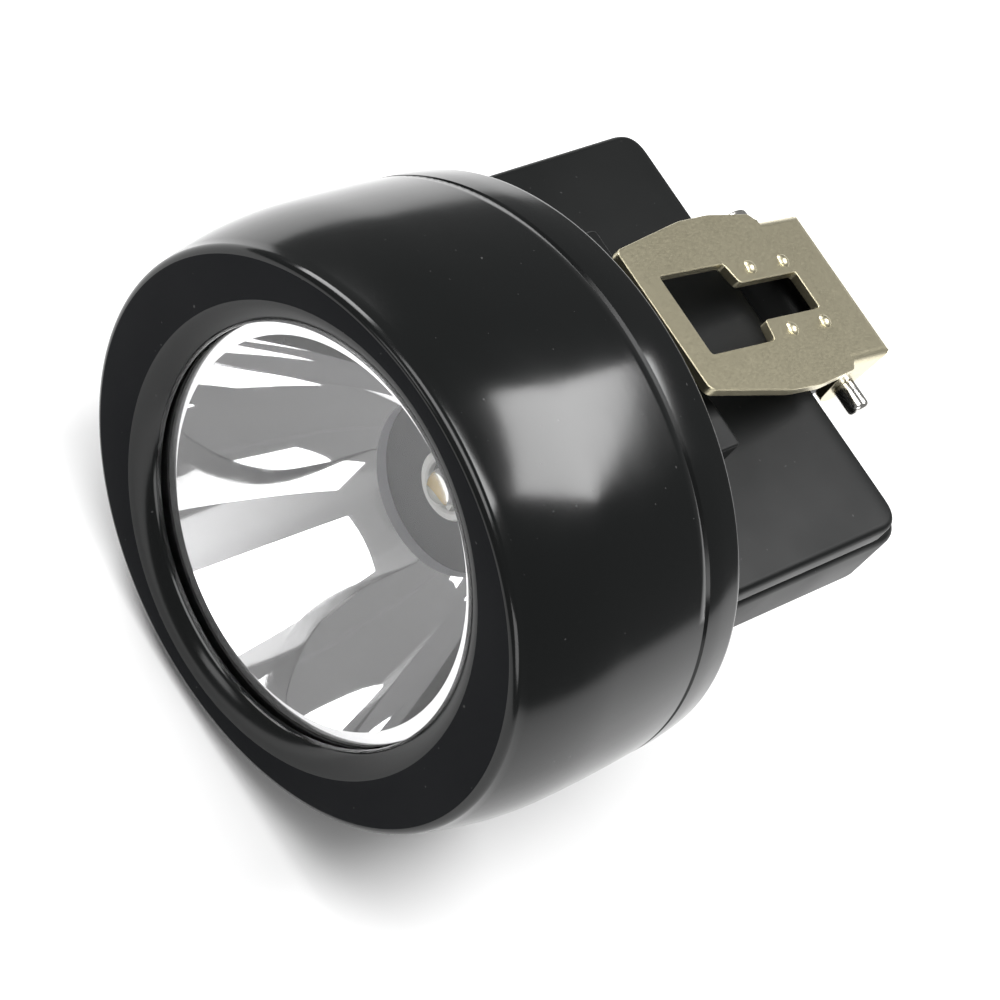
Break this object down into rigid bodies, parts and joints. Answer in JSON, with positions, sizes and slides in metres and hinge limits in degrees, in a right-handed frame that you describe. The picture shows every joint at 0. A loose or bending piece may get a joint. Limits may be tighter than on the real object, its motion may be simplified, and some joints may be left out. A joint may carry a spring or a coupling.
{
  "type": "miners cap lamp",
  "caption": "Cordless LED cap lamp: oval black head with a round reflector, slim rear body and a hinged metal clip with a T-slot for a helmet bracket.",
  "frame": {"origin": "the middle of the lamp's outline seen from above, on the plane it stands on", "axes": "-Y is the way the light leaves, +Y the back, +Z the side the helmet clip lies on, X across the lamp"},
  "size_m": [0.073, 0.079, 0.0626],
  "materials": {
    "bezel_plastic": "polished black ABS with a satin front face",
    "case_plastic": "black ABS",
    "rubber_black": "black silicone rubber",
    "lens_clear": "clear polycarbonate lens",
    "mirror_coat": "vacuum metallised reflector",
    "led_white_plastic": "white insulator",
    "led_board_metal": "white solder mask on an aluminium core",
    "led_ceramic": "ceramic package",
    "led_phosphor": "yellow phosphor",
    "led_silicone": "clear silicone dome",
    "sink_aluminium": "milled",
    "wire_red": "PVC insulation",
    "wire_black": "PVC insulation",
    "screw_steel": "zinc plated",
    "cell_sleeve": "blue heat-shrink sleeve over the can",
    "inner_plastic": "black nylon",
    "board_green": "FR4 with green solder mask",
    "plunger_white": "white acetal",
    "button_red": "red silicone button",
    "contact_brass": "bright brass",
    "clip_nickel": "nickel plated spring steel",
    "pin_steel": "polished stainless steel"
  },
  "bodies": {
    "lamp": {"front_bezel": "bezel_plastic", "bezel_seal": "rubber_black", "lens_gasket": "rubber_black", "lens": "lens_clear", "reflector": "mirror_coat", "led_holder": "led_white_plastic", "led_board": "led_board_metal", "led_package": "led_ceramic", "led_phosphor": "led_phosphor", "led_dome": "led_silicone", "heat_sink": "sink_aluminium", "led_wire_red": "wire_red", "led_wire_black": "wire_black", "rear_case": "case_plastic", "top_cover": "case_plastic", "cover_gasket": "rubber_black", "cover_screw_1": "screw_steel", "cover_screw_2": "screw_steel", "cover_screw_3": "screw_steel", "cover_screw_4": "screw_steel", "battery_cell_1": "cell_sleeve", "battery_cell_2": "cell_sleeve", "cell_saddle_left": "inner_plastic", "cell_saddle_right": "inner_plastic", "driver_board": "board_green", "driver_chip": "inner_plastic", "switch_board": "board_green", "switch_body": "inner_plastic", "button_seal": "rubber_black", "charge_contact_left": "contact_brass", "charge_contact_right": "contact_brass", "hinge_pin": "pin_steel", "hinge_washer_left": "screw_steel", "hinge_washer_right": "screw_steel"},
    "clip": {"clip_plate": "clip_nickel"},
    "button": {"switch_button": "button_red", "switch_plunger": "plunger_white"}
  },
  "joints": [
    {"name": "clip_hinge", "type": "hinge", "parent": "lamp", "child": "clip", "pos_m": [0, 0.03451, 0.0443], "axis": [-1, 0, 0], "range_deg": [0, 105]},
    {"name": "switch_press", "type": "slide", "parent": "lamp", "child": "button", "axis": [0, -1, 0], "range_m": [0, 0.0009], "stiffness_N_per_m": 1500, "springref_m": -0.0004}
  ]
}
